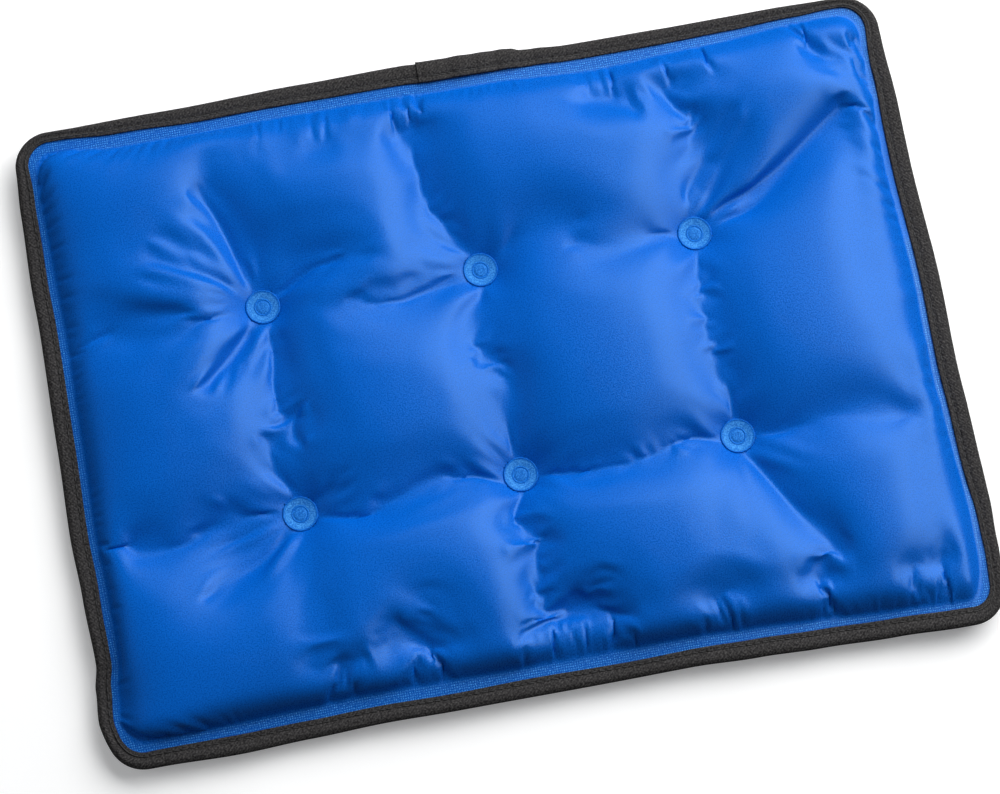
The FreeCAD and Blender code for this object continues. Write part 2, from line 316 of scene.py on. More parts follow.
def nearest_on(path, x, y):
    """Distance to a path, the direction of its nearest leg, and the share of it passed."""
    lengths = np.hypot(*np.diff(path, axis=0).T)
    passed = np.r_[0, np.cumsum(lengths)]
    best = [np.full(x.shape, 1e9)] + [np.zeros(x.shape) for _ in range(3)]
    for start, leg, length, before in zip(path[:-1], np.diff(path, axis=0), lengths, passed):
        along = np.clip(((x - start[0]) * leg[0] + (y - start[1]) * leg[1]) / length**2, 0, 1)
        distance = np.hypot(x - start[0] - along * leg[0], y - start[1] - along * leg[1])
        found = (distance, leg[0] / length, leg[1] / length, (before + along * length) / passed[-1])
        nearer = distance < best[0]
        best = [np.where(nearer, new, old) for new, old in zip(found, best)]
    return best


# ------------ the cloth solver
def resampled(field, columns, rows):
    """A grid of values or vectors, cubically resampled to another size."""
    for axis, count in ((0, rows), (1, columns)):
        values = np.moveaxis(field, axis, 0)
        at = np.linspace(0, len(values) - 1, count)
        i = np.minimum(at.astype(int), len(values) - 2)
        share = (at - i).reshape((-1,) + (1,) * (values.ndim - 1))
        after = np.minimum(i + 2, len(values) - 1)
        values = cubic(values[np.maximum(i - 1, 0)], values[i], values[i + 1], values[after], share)
        field = np.moveaxis(values, 0, axis)
    return field


def across(points):
    """Vectors square to a grid's surface, inside it four times as long as a cell's area."""
    along_x, along_y = np.empty_like(points), np.empty_like(points)
    along_x[:, 1:-1] = points[:, 2:] - points[:, :-2]
    along_x[:, 0] = points[:, 1] - points[:, 0]
    along_x[:, -1] = points[:, -1] - points[:, -2]
    along_y[1:-1] = points[2:] - points[:-2]
    along_y[0] = points[1] - points[0]
    along_y[-1] = points[-1] - points[-2]
    return np.cross(along_x, along_y)


def unit(vectors):
    return vectors / np.maximum(np.linalg.norm(vectors, axis=-1, keepdims=True), 1e-12)


class Cloth:
    """A sheet on a grid: its flat pattern, its rest lengths and where it is held."""

    def __init__(self, columns, rows, excess, folds):
        self.spacing = 2 * (HALF_LENGTH - SHEET_INSET) / (columns - 1)
        self.u, self.v = self.flat_pattern(columns, rows)
        self.past_tape = past_tape(self.u, self.v)
        self.pocket = past_rim(self.u, self.v)
        self.grow = 1 + (excess - 1) * smooth(self.past_tape / 20)
        self.lift = np.zeros_like(self.u)
        slope_u = past_rim(self.u + 0.5, self.v) - past_rim(self.u - 0.5, self.v)
        slope_v = past_rim(self.u, self.v + 0.5) - past_rim(self.u, self.v - 0.5)
        size = np.maximum(np.hypot(slope_u, slope_v), 1e-6)
        slope_u, slope_v = slope_u / size, slope_v / size
        near = smooth((self.pocket + 1) / 3) * smooth((RIM_REACH - self.pocket) / RIM_REACH)
        turning = 4 * (slope_u * slope_v) ** 2
        inward = along_edge(self.u, self.v, RIM_ACROSS) * near
        along = (RIM_ALONG - CORNER_TUCK * turning) * near
        self.extra = [
            inward * slope_u**2 + along * slope_v**2,
            (inward - along) * slope_u * slope_v,
            inward * slope_v**2 + along * slope_u**2,
        ]
        for path, width, more, lift in folds:
            self.add_fold(curve_through(path), width, more, lift)
        self.springs = []
        every = slice(None)
        for p in (0, 1):
            self.tie((every, slice(p, columns - 1, 2)), (every, slice(p + 1, columns, 2)), 1.0)
            self.tie((slice(p, rows - 1, 2), every), (slice(p + 1, rows, 2), every), 1.0)
        for p in (0, 1):
            lower, upper = slice(p, rows - 1, 2), slice(p + 1, rows, 2)
            self.tie((lower, slice(0, columns - 1)), (upper, slice(1, columns)), SHEAR)
            self.tie((lower, slice(1, columns)), (upper, slice(0, columns - 1)), SHEAR)

    def flat_pattern(self, columns, rows):
        """The grid's points on the flat pad, its corners rounded, with a ring round each tack."""
        half_x, half_y = HALF_LENGTH - SHEET_INSET, HALF_DEPTH - SHEET_INSET
        r = CORNER - SHEET_INSET
        u, v = np.meshgrid(np.linspace(-half_x, half_x, columns), np.linspace(-half_y, half_y, rows))
        a, b = (np.abs(u) - (half_x - r)) / r, (np.abs(v) - (half_y - r)) / r
        rounded = (a > 0) & (b > 0)
        squeeze = np.where(rounded, np.maximum(a, b) / np.maximum(np.hypot(a, b), 1e-9), 1)
        u = np.where(rounded, np.sign(u) * (half_x - r + r * a * squeeze), u)
        v = np.where(rounded, np.sign(v) * (half_y - r + r * b * squeeze), v)
        for centre in TACKS.values():
            away = np.hypot(u - centre[0], v - centre[1])
            near = np.abs(away - HELD_RADIUS) < 0.5 * self.spacing
            pull = np.where(near, HELD_RADIUS / np.maximum(away, 1e-6), 1)
            u = centre[0] + (u - centre[0]) * pull
            v = centre[1] + (v - centre[1]) * pull
        return u, v

    def add_fold(self, path, width, more, lift):
        """Adds cloth across a path, which fades out at its ends, and lifts or sinks it."""
        more, lift = FOLD_STRENGTH * more, FOLD_STRENGTH * lift
        distance, along_x, along_y, share = nearest_on(path, self.u, self.v)
        ends = smooth(share / 0.12) * smooth((1 - share) / 0.12)
        self.lift += lift * ends * np.exp(-((distance / width) ** 2))
        more = more * ends * np.exp(-((distance / (1.2 * width)) ** 2))
        self.extra[0] += more * along_y * along_y
        self.extra[1] -= more * along_x * along_y
        self.extra[2] += more * along_x * along_x

    def tie(self, a, b, stiffness):
        """Springs from the points in a to those in b, none sharing a point with another."""
        du, dv = self.u[b] - self.u[a], self.v[b] - self.v[a]
        square = du * du + dv * dv
        xx, xy, yy = (0.5 * (part[a] + part[b]) for part in self.extra)
        fold = (xx * du * du + 2 * xy * du * dv + yy * dv * dv) / square
        rest = np.sqrt(square) * (0.5 * (self.grow[a] + self.grow[b]) + fold)
        self.springs.append((a, b, rest.astype(np.float32), stiffness))

    def pull_springs(self, points, free):
        """Moves each pair of tied points towards its rest length."""
        for a, b, rest, stiffness in self.springs:
            gap = points[b] - points[a]
            length = np.sqrt(np.einsum("ijk,ijk->ij", gap, gap))
            free_a, free_b = free[a], free[b]
            share = stiffness * (length - rest) / (length * (free_a + free_b) + 1e-9)
            points[a] += gap * (share * free_a)[..., None]
            points[b] -= gap * (share * free_b)[..., None]

    def resist_bending(self, points, free):
        """Straightens each run of three points, but less where the cloth has creased."""
        crease = CREASE * self.spacing
        for axis in (0, 1):
            count = points.shape[axis]
            for p in range(3):
                end = p + 3 * ((count - p) // 3)
                a, b, c = (slice(p + i, end, 3) for i in range(3))
                if axis:
                    a, b, c = ((slice(None), cut) for cut in (a, b, c))
                bow = points[a] - 2 * points[b] + points[c]
                share = (BEND / 6) / (1 + np.einsum("ijk,ijk->ij", bow, bow) / crease**2)
                points[a] -= bow * (share * free[a])[..., None]
                points[b] += bow * (2 * share * free[b])[..., None]
                points[c] -= bow * (share * free[c])[..., None]

    def at_tack(self, reach):
        """Marks the points within reach of a tack weld's middle."""
        hit = np.zeros(self.u.shape, bool)
        for centre in TACKS.values():
            hit |= np.hypot(self.u - centre[0], self.v - centre[1]) < reach
        return hit


HELD_RADIUS = TACK_RADIUS - 0.25  # the sheets are held up to here, under the weld's bead
TOUCH = 0.05  # points this near to the held radius are held as well
WELD_EDGE = TACK_RADIUS + 0.35  # the weld's own piece ends here
CREASE_REACH = 2  # how many cells from a crease the filling stays clear of it
GEL_GAP = 0.2  # between the filling and a sheet


def settle(cloth, points, base, free, steps, most):
    """Moves one grid of points, step by step. free is 0 where a point is held."""
    filled = smooth((cloth.pocket + 1) / 2.5).astype(np.float32)
    at_crest = np.exp(-(((cloth.pocket - CREST) / CREST_WIDTH) ** 2))
    heavy = (1 + RIM_PRESSURE * at_crest).astype(np.float32)
    welded = ((1 - filled) * free).astype(np.float32)
    before = points.copy()
    for step in range(steps):
        carried = (points - before) * DAMPING
        before = points.copy()
        push = PRESSURE * np.clip(1 - (points[..., 2] - SHEET_FACE) / PRESSURE_FADE, -1, 1.2)
        if step < LIFTED_FOR * steps:
            push = push + PRESSURE * cloth.lift
        push = (push * heavy * filled * free / (4 * cloth.spacing)).astype(np.float32)
        points = points + carried * free[..., None] + across(points) * push[..., None]
        points[..., 2] += WELD_PULL * welded * (base[..., 2] - points[..., 2])
        cloth.pull_springs(points, free)
        cloth.resist_bending(points, free)
        points[..., 2] = np.maximum(points[..., 2], base[..., 2] - SLACK_DOWN)
        if most is not None:
            points[..., 2] = np.minimum(points[..., 2], most)
    return points


def inflate(levels, excess, folds, side, flange=None, most=None):
    """Fills one sheet, on finer and finer grids.

    side is 1 for the upper sheet and -1 for the lower. flange, for the lower sheet, is the
    welded rim's points that it has to follow. most is the greatest height it can reach.
    """
    rng = np.random.default_rng(SEED)
    points = None
    for columns, rows, steps in levels:
        cloth = Cloth(columns, rows, excess, folds)
        shift_x, shift_y, lift = sewn_edge(cloth.u, cloth.v)
        base = np.stack([cloth.u + shift_x, cloth.v + shift_y, SHEET_FACE + side * lift], -1)
        base = base.astype(np.float32)
        if points is None:
            points = base.copy()
            in_pocket = smooth(cloth.pocket / 6)
            points[..., 2] += START_DOME * smooth(cloth.pocket / 30) + cloth.lift * in_pocket
            points[..., 2] += START_NOISE * rng.standard_normal(cloth.u.shape) * in_pocket
        else:
            points = resampled(points, columns, rows).astype(np.float32)
        free = np.ones(cloth.u.shape, np.float32)
        held = cloth.past_tape < 0
        points[held] = base[held]
        if flange is not None:
            rim = resampled(flange, columns, rows).astype(np.float32)
            held = cloth.pocket < 0.5 * cloth.spacing
            points[held] = rim[held]
        tacked = cloth.at_tack(HELD_RADIUS + TOUCH)
        points[tacked, 0] = cloth.u[tacked]
        points[tacked, 1] = cloth.v[tacked]
        points[tacked, 2] = SHEET_FACE
        free[held | tacked] = 0
        points = settle(cloth, points, base, free, steps, most)
    return points.astype(float), cloth


# ------------ meshes
SHARP = math.radians(70)  # edges that turn further than this are drawn as edges


def new_object(name, vertices, faces, uv=None, attributes=()):
    """A mesh object from points in millimetres and arrays of faces, each of one size."""
    mesh = bpy.data.meshes.new(name)
    vertices = np.asarray(vertices, float).reshape(-1, 3) * MM
    faces = [np.asarray(block, np.int32) for block in faces if len(block)]
    corners = np.concatenate([block.ravel() for block in faces])
    sizes = np.concatenate([np.full(len(block), block.shape[1], np.int32) for block in faces])
    mesh.vertices.add(len(vertices))
    mesh.vertices.foreach_set("co", vertices.astype(np.float32).ravel())
    mesh.loops.add(len(corners))
    mesh.loops.foreach_set("vertex_index", corners)
    mesh.polygons.add(len(sizes))
    mesh.polygons.foreach_set("loop_start", np.r_[0, np.cumsum(sizes)[:-1]].astype(np.int32))
    mesh.polygons.foreach_set("loop_total", sizes)
    mesh.update(calc_edges=True)
    mesh.validate()
    if uv is not None:
        layer = mesh.uv_layers.new(name="cloth")
        layer.data.foreach_set("uv", (np.asarray(uv).reshape(-1, 2)[corners] * MM).ravel())
    for key, values in attributes:
        attribute = mesh.attributes.new(key, "FLOAT", "POINT")
        attribute.data.foreach_set("value", np.asarray(values).ravel())
    mesh.shade_smooth()
    mesh.set_sharp_from_angle(angle=SHARP)
    piece = bpy.data.objects.new(name, mesh)
    bpy.context.scene.collection.objects.link(piece)
    return piece


def slab(name, upper, lower, keep, uv=None, attributes=()):
    """Closed mesh between two grids of points, over the cells that keep marks."""
    rows, columns = upper.shape[:2]
    number = np.arange(rows * columns).reshape(rows, columns)
    sw, se = number[:-1, :-1][keep], number[:-1, 1:][keep]
    ne, nw = number[1:, 1:][keep], number[1:, :-1][keep]
    top = np.stack([sw, se, ne, nw], 1)
    padded = np.pad(keep, 1)
    open_south = ~padded[:-2, 1:-1][keep]
    open_north = ~padded[2:, 1:-1][keep]
    open_west = ~padded[1:-1, :-2][keep]
    open_east = ~padded[1:-1, 2:][keep]
    sides = [(sw, se, open_south), (se, ne, open_east), (ne, nw, open_north), (nw, sw, open_west)]
    below = rows * columns
    walls = [np.stack([b, a, a + below, b + below], 1)[is_open] for a, b, is_open in sides]
    faces = np.concatenate([top, top[:, ::-1] + below] + walls)
    used, faces = np.unique(faces, return_inverse=True)
    faces = faces.reshape(-1, 4)
    points = np.concatenate([upper.reshape(-1, 3), lower.reshape(-1, 3)])[used]
    uv = None if uv is None else np.concatenate([uv.reshape(-1, 2)] * 2)[used]
    attributes = [(key, np.concatenate([v.ravel()] * 2)[used]) for key, v in attributes]
    return new_object(name, points, [faces], uv, attributes)


def strip(name, rings, uv=None, attributes=()):
    """Closed tube through rings of points: rings[i, j] is point j of ring i."""
    count, around = rings.shape[:2]
    number = np.arange(count * around).reshape(count, around)
    a, b = number[:-1], number[1:]
    sides = np.stack([a, np.roll(a, -1, 1), np.roll(b, -1, 1), b], -1).reshape(-1, 4)
    return new_object(name, rings, [sides, number[:1, ::-1], number[-1:]], uv, attributes)


# ------------ materials
class Look:
    """A node material under construction."""

    def __init__(self, name):
        self.material = bpy.data.materials.new(name)
        self.material.use_nodes = True
        self.nodes = self.material.node_tree.nodes
        self.link = self.material.node_tree.links.new
        self.shader = self.nodes["Principled BSDF"]

    def add(self, kind, **settings):
        """A new node, with some of its inputs or properties set."""
        node = self.nodes.new("ShaderNode" + kind)
        for key, value in settings.items():
            if key in node.inputs:
                self.put(node.inputs[key], value)
            else:
                setattr(node, key, value)
        return node

    def put(self, socket, value):
        """Gives a socket a number or a colour, or links another node's output to it."""
        if isinstance(value, bpy.types.NodeSocket):
            self.link(value, socket)
        elif isinstance(value, tuple):
            socket.default_value = (*value, 1)
        else:
            socket.default_value = value

    def noise(self, scale, detail):
        return self.add("TexNoise", Scale=scale, Detail=detail)

    def bands(self, direction, scale, distortion, detail, detail_scale):
        waves = {"Scale": scale, "Distortion": distortion, "Detail": detail}
        waves["Detail Scale"] = detail_scale
        return self.add("TexWave", wave_type="BANDS", bands_direction=direction, **waves)

    def mapped(self, place, *textures):
        """The textures' values, once they are laid out over a place's coordinates."""
        for node in textures:
            self.put(node.inputs["Vector"], place)
        return [node.outputs["Fac"] for node in textures]

    def on_cloth(self, *textures):
        """Textures over the flat pattern, so that they bend with the cloth."""
        return self.mapped(self.add("UVMap", uv_map="cloth").outputs[0], *textures)

    def in_metres(self, *textures):
        """Textures in the piece's own metres, for what has no flat pattern."""
        return self.mapped(self.add("TexCoord").outputs["Object"], *textures)

    def measured(self, name):
        """A value that the mesh carries at each point."""
        return self.add("Attribute", attribute_name=name).outputs["Fac"]

    def maths(self, operation, *values):
        """Output of a Math node whose inputs are numbers or sockets."""
        node = self.add("Math", operation=operation)
        for socket, value in zip(node.inputs, values):
            self.put(socket, value)
        return node.outputs[0]

    def stretched(self, value, low, high):
        """A value's range from low to high, stretched to 0 to 1."""
        return self.add("MapRange", **{"Value": value, "From Min": low, "From Max": high}).outputs[0]

    def mixed(self, share, first, second):
        """Output of a colour mix; the share and the colours may be values or sockets."""
        node = self.add("Mix", data_type="RGBA")
        for place, value in ((0, share), (6, first), (7, second)):
            self.put(node.inputs[place], value)
        return node.outputs[2]

    def bump(self, height, strength, distance):
        node = self.add("Bump", Strength=strength, Distance=distance, Height=height)
        self.put(self.shader.inputs["Normal"], node.outputs[0])

    def finish(self, colour, rough, specular=None, tint=None):
        """Sets the shader's inputs, each a value or a socket; None leaves one as it is."""
        names = ("Base Color", "Roughness", "Specular IOR Level", "Specular Tint")
        for key, value in zip(names, (colour, rough, specular, tint)):
            if value is not None:
                self.put(self.shader.inputs[key], value)
        return self.material


def coated_nylon():
    """Satin blue nylon: a fine weave, faint mottling, and a pressed grain where it is welded, with
    painted light and shade on that grain's knurl: deep blue in its hollows, a painted highlight on its
    peaks.
    """
    look = Look("coated_nylon")
    weld = look.measured("weld")
    threads = [look.bands(way, 330.0, 1.5, 1.0, 2.0) for way in ("X", "Y")]
    mottle, grain, warp, weft = look.on_cloth(look.noise(55.0, 3.0), look.noise(1800.0, 3.0), *threads)
    weave = look.maths("MULTIPLY", warp, weft)
    speckle = look.stretched(grain, 0.38, 0.62)

    cloth = look.mixed(mottle, (0.0, 0.100, 0.52), (0.0, 0.125, 0.60))
    grains = look.mixed(speckle, (0.0, 0.060, 0.37), (0.0, 0.18, 0.78))
    cloth = look.mixed(0.4, cloth, grains)
    knurl = look.maths("MULTIPLY", weave, speckle)
    # painted light and shade on the welded track: deep blue in the knurl's hollows, a pale painted
    # highlight on its peaks
    knurl_shade_and_highlight = look.mixed(knurl, (0.0, 0.08, 0.44), (0.10, 0.48, 1.0))
    pips = look.maths("MULTIPLY", weave, weld)
    look.bump(look.maths("ADD", pips, speckle), 0.25, 0.00008)
    rough = look.maths("MULTIPLY_ADD", speckle, 0.18, 0.23)
    return look.finish(look.mixed(weld, cloth, knurl_shade_and_highlight), rough, 0.5, (0.5, 0.8, 0.95))


def pressed_weld():
    """The tack welds' fused coating, with painted highlights: the raised pips are coloured paler, and
    pale flecks stand in for glints.
    """
    look = Look("pressed_weld")
    relief = look.measured("relief")
    spots, glint_noise = look.in_metres(look.noise(900.0, 2.0), look.noise(2000.0, 2.0))
    # painted highlight: paler where the pips are raised, and flecked with still paler colour as
    # painted glints
    colour = look.mixed(relief, (0.0, 0.085, 0.45), (0.01, 0.18, 0.66))
    pip_highlight = look.mixed(relief, (0.01, 0.19, 0.70), (0.12, 0.47, 0.95))
    glint_flecked = look.mixed(look.stretched(glint_noise, 0.40, 0.64), colour, pip_highlight)
    rough = look.maths("MULTIPLY_ADD", spots, 0.2, 0.36)
    return look.finish(glint_flecked, rough, 0.35, (0.3, 0.75, 0.95))


def woven_tape():
    """Charcoal twill tape, fuzzy and a little worn."""
    look = Look("woven_tape")
    diagonal = look.bands("DIAGONAL", 420.0, 2.5, 2.0, 3.0)
    twill, fuzz, wear = look.on_cloth(diagonal, look.noise(1100.0, 3.0), look.noise(60.0, 3.0))
    tuft = look.stretched(fuzz, 0.35, 0.7)
    thread = look.maths("MULTIPLY", look.maths("MULTIPLY_ADD", twill, 0.5, 0.5), tuft)
    dark = look.mixed(wear, (0.010, 0.0095, 0.010), (0.022, 0.021, 0.022))
    look.bump(thread, 0.7, 0.0003)
    return look.finish(look.mixed(thread, dark, (0.090, 0.086, 0.085)), 0.8, 0.12)


def cloudy(name, scale, detail, first, second, rough):
    """A plain material whose colour drifts between two."""
    look = Look(name)
    (cloud,) = look.in_metres(look.noise(scale, detail))
    return look.finish(look.mixed(cloud, first, second), rough)


def spun_thread():
    """Black spun sewing thread."""
    return cloudy("spun_thread", 2500.0, 2.0, (0.012, 0.012, 0.013), (0.06, 0.06, 0.06), 0.6)


def clear_gel():
    """Cool blue gel, seen only if the pad is opened."""
    return cloudy("clear_gel", 30.0, 3.0, (0.25, 0.5, 0.72), (0.45, 0.7, 0.85), 0.12)


def fused_coating():
    """The blue bond line between the sheets."""
    return cloudy("fused_coating", 300.0, 2.0, (0.0, 0.07, 0.4), (0.0, 0.12, 0.6), 0.35)


def finish_piece(piece, material, slot, *nodes):
    """Gives a piece its material and its body, and hides the CAD nodes that it stands for. slot is not
    used.
    """
    piece.data.materials.append(material)
    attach(piece, "root")
    if nodes:
        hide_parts(*nodes)
    return piece


# ------------ covers, gel and seals
def measured_from(level, points, side):
    """The points with their heights measured up, or for side -1 down, from a level."""
    placed = points.copy()
    placed[..., 2] = level + side * points[..., 2]
    return placed


def cells(mask):
    """The cells all of whose corners are marked."""
    return mask[:-1, :-1] & mask[1:, :-1] & mask[:-1, 1:] & mask[1:, 1:]


def below_creases(sheet):
    """The sheet's points, let down to where no crease near them cuts the filling."""
    rows, columns = sheet.shape[:2]
    padded = np.pad(sheet[..., 2], CREASE_REACH, mode="edge")
    reach = range(2 * CREASE_REACH + 1)
    lowest = np.min([padded[j : j + rows, i : i + columns] for j in reach for i in reach], axis=0)
    return np.dstack([sheet[..., :2], lowest - SHEET - GEL_GAP])


def build_filled_part():
    """The two covers, the filling between them and the weld round them."""
    used = len(LEVELS)
    upper, cloth = inflate(LEVELS[:used], EXCESS, FOLDS, 1)
    columns, rows, _ = LEVELS[-1]
    rim = measured_from(2 * SHEET_FACE, upper, -1)  # the lower sheet's rim lies against it
    lower, _ = inflate(LOWER_LEVELS[:used], LOWER_EXCESS, (), -1, rim, WELD_Z)
    lower = resampled(lower, columns, rows)
    keep_rim = (1 - smooth(cloth.pocket / 3))[..., None]
    lower = rim * keep_rim + lower * (1 - keep_rim)
    lower[..., 2] = np.minimum(lower[..., 2], WELD_Z)

    cut = np.stack([cloth.u, cloth.v], -1)
    weld = 1 - smooth((cloth.pocket + 0.8) / 0.8)
    port = smooth((cloth.u - HALF_LENGTH / 2) / 10) * smooth((cloth.v - PORT_LOW_Y) / 2)
    port *= smooth((PORT_HIGH_Y - cloth.v) / 2)
    weld = weld * (1 - port)
    sheet_cells = cells(~cloth.at_tack(HELD_RADIUS - 0.4))
    nylon = coated_nylon()
    for name, outer, side in (("top_cover", upper, 1), ("bottom_cover", lower, -1)):
        inner = outer - unit(across(outer)) * SHEET
        high, low = (measured_from(WELD_Z, face, side) for face in (outer, inner)[::side])
        cover = slab(name + "_cloth", high, low, sheet_cells, cut, [("weld", weld)])
        finish_piece(cover, nylon, "coated_nylon", name)

    high = measured_from(WELD_Z, below_creases(upper), 1)[::2, ::2]
    low = measured_from(WELD_Z, below_creases(lower), -1)[::2, ::2]
    roomy = (cloth.pocket > 2.5) & ~cloth.at_tack(TACK_RADIUS + 3.5)
    roomy = roomy[::2, ::2] & (high[..., 2] - low[..., 2] > 0.4)
    gel = slab("gel_filling", high, low, cells(roomy))
    finish_piece(gel, clear_gel(), "gel", "cooling_gel")

    rim_high = measured_from(WELD_Z, upper - [0, 0, SHEET], 1)
    rim_low = measured_from(WELD_Z, lower - [0, 0, SHEET], -1)
    ring = cells(cloth.pocket < 0.5)
    port_cells = cells(port > 0.5)
    coating = fused_coating()
    for name, mask in (("rim_seal", ring & ~port_cells), ("fill_port_seal", ring & port_cells)):
        finish_piece(slab(name + "_bond", rim_high, rim_low, mask), coating, "weld", name)


# ------------ tack welds
def weld_height(r):
    """Height of a tack weld's face over the weld plane: bead, dished ring, lip and button."""
    bead = 0.3 * np.exp(-(((r - 6.8) / 0.45) ** 2))
    dish = 0.35 + 0.55 * smooth((r - 3.4) / 3.2)
    lip = 0.2 * np.exp(-(((r - 3.3) / 0.3) ** 2))
    button = 0.22 * smooth((3.0 - r) / 1.2)
    edge = 0.75 * smooth((r - 6.9) / (WELD_EDGE - 6.9))
    return dish + bead + lip + button - edge


def build_tacks():
    rings, spokes = 60, 200
    r = np.linspace(0.15, WELD_EDGE, rings)[:, None]
    turn = np.linspace(0, 2 * math.pi, spokes, endpoint=False)[None]
    x, y = r * np.cos(turn), r * np.sin(turn)
    pips = 0.5 + 0.5 * np.sin(2 * math.pi * (x + y) / 1.0) * np.sin(2 * math.pi * (x - y) / 1.0)
    on_ring = smooth((r - 3.5) / 0.5) * smooth((6.5 - r) / 0.5)
    on_button = 0.35 * smooth((2.9 - r) / 0.4)
    relief = pips * (on_ring + on_button)
    height = weld_height(r) + 0.16 * relief
    material = pressed_weld()
    top, bottom = (np.stack([x, y, side * height], -1) for side in (1, -1))
    skin = np.concatenate([top, bottom[::-1]])
    # the relief goes with the mesh, so that the weld's material can paint the raised pips paler as a
    # painted highlight
    relief = np.concatenate([relief, relief[::-1]])
    for name, centre in TACKS.items():
        weld = strip(name + "_disc", centre + skin, attributes=[("relief", relief)])
        finish_piece(weld, material, "weld", name)


# ------------ edge binding and thread
TAPE = 0.8
TAPE_STEP = 1.0
TAPE_FACE = SHEET_FACE + TAPE  # height of its face, and the radius of its fold
TAPE_GAP = 0.02  # between the tape and the sheet under it
LAP_START_X, LAP_END_X = -12.75, 31.25
LAP_RISE = TAPE + 0.1  # how much prouder the upper layer lies
LAP_RUN = 3.0  # length in which it climbs onto the lower one
# Where its section's points stand on the face, from inner edge to fold
FACE_SHARES = np.array([0, 0.02, 0.06, 0.13, 0.2, 0.26, 0.31, 0.36, 0.45, 0.58, 0.72, 0.86, 1.0])
STITCH_COLUMN = 6  # the one of them that the thread follows
STITCH_IN = 2.2  # from the tape's inner edge to the stitch line
STITCH_PITCH = 3.2
STITCH_HALF = 1.25
FIRST_STITCH = 6.0  # from the tape's end
THREAD_WIDE, THREAD_HIGH = 0.3, 0.26  # half sizes of the flattened thread
THREAD_PROUD = 0.08


def outline_path(start_x, end_x):
    """Points along the pad's outline, from start_x on the back edge round by the left to end_x."""
    cx, cy = HALF_LENGTH - CORNER, HALF_DEPTH - CORNER
    corners = ((-cx, cy, 90), (-cx, -cy, 180), (cx, -cy, 270), (cx, cy, 360))
    points = [(start_x, HALF_DEPTH)]
    for corner_x, corner_y, first in corners:
        turn = np.radians(np.linspace(first, first + 90, 24))
        points += list(zip(corner_x + CORNER * np.cos(turn), corner_y + CORNER * np.sin(turn)))
    points.append((end_x, HALF_DEPTH))
    points = np.array(points)
    passed = np.r_[0, np.cumsum(np.hypot(*np.diff(points, axis=0).T))]
    at = np.linspace(0, passed[-1], round(passed[-1] / TAPE_STEP) + 1)
    line = np.stack([np.interp(at, passed, points[:, k]) for k in (0, 1)], -1)
    return at, line


def face_height(from_edge, width):
    """Height of the tape's face: a turned edge, the stitch groove and the swell beyond it."""
    groove = -0.28 * np.exp(-(((from_edge - STITCH_IN) / 0.45) ** 2))
    beyond = np.clip((from_edge - STITCH_IN) / (width - STITCH_IN), 0, 1)
    swell = 0.45 * np.sin(math.pi * beyond) ** 0.8
    turned = 0.12 * np.exp(-(((from_edge - 0.9) / 0.6) ** 2)) - 0.25 * (from_edge < 0.01)
    return TAPE_FACE + groove + swell + turned


def tape_section(width, rise):
    """The folded tape's section: points as (in from the fold, height over the weld plane)."""
    from_edge = FACE_SHARES * (width - TAPE_FACE)
    face_in = width - from_edge
    face_z = face_height(from_edge, width) + rise
    turn = np.radians(np.linspace(90, 270, 13))[1:-1]
    fold_in = TAPE_FACE - (TAPE_FACE + rise) * np.sin(turn - math.pi / 2)
    fold_z = (TAPE_FACE + rise + 0.1) * np.sin(turn)
    under = SHEET_FACE + TAPE_GAP
    inner_in = np.array([width, TAPE_FACE * 0.95, 0.85])
    inner_z = np.array([under + rise, under + rise, under * 0.6])
    inwards = [face_in, fold_in, face_in[::-1], inner_in, inner_in[::-1]]
    heights = [face_z, fold_z, -face_z[::-1], -inner_z, inner_z[::-1]]
    return np.stack([np.concatenate(inwards), np.concatenate(heights)], -1)


def build_binding():
    """The tape, folded over the rim; gives its path's lengths and its placed points back."""
    at, line = outline_path(LAP_END_X, LAP_START_X)
    heading = unit(np.gradient(line, axis=0))
    inward = np.stack([-heading[:, 1], heading[:, 0]], -1)
    width = np.full(len(line), 7.0)
    for _ in range(6):
        probe = line + inward * width[:, None]
        width -= past_tape(probe[:, 0], probe[:, 1])
    rise = LAP_RISE * smooth((at - (at[-1] - (LAP_END_X - LAP_START_X))) / LAP_RUN)

    rings = np.array([tape_section(*sizes) for sizes in zip(width, rise)])
    legs = np.hypot(*np.moveaxis(np.diff(rings, axis=1), -1, 0))
    along_section = np.pad(np.cumsum(legs, axis=1), ((0, 0), (1, 0)))
    uv = np.stack([np.broadcast_to(at[:, None], along_section.shape), along_section], -1)

    plan = line[:, None] + inward[:, None] * rings[..., :1]
    shift_x, shift_y, lift = sewn_edge(plan[..., 0], plan[..., 1])
    rng = np.random.default_rng(SEED)
    wobble = np.convolve(rng.standard_normal(len(at) + 24), np.hanning(9) / 4, "valid")[: len(at)]
    near_lap = np.exp(-(((line[:, 0] - 12) / 30) ** 2)) * (line[:, 1] > 0)
    pucker = (wobble * (0.12 + 0.55 * near_lap))[:, None] * np.sign(rings[..., 1])
    height = WELD_Z + rings[..., 1] + lift + pucker
    placed = np.stack([plan[..., 0] + shift_x, plan[..., 1] + shift_y, height], -1)
    tape = strip("edge_binding_tape", placed[:, ::-1], uv=uv[:, ::-1])
    finish_piece(tape, woven_tape(), "binding_tape", "edge_binding")
    return at, placed


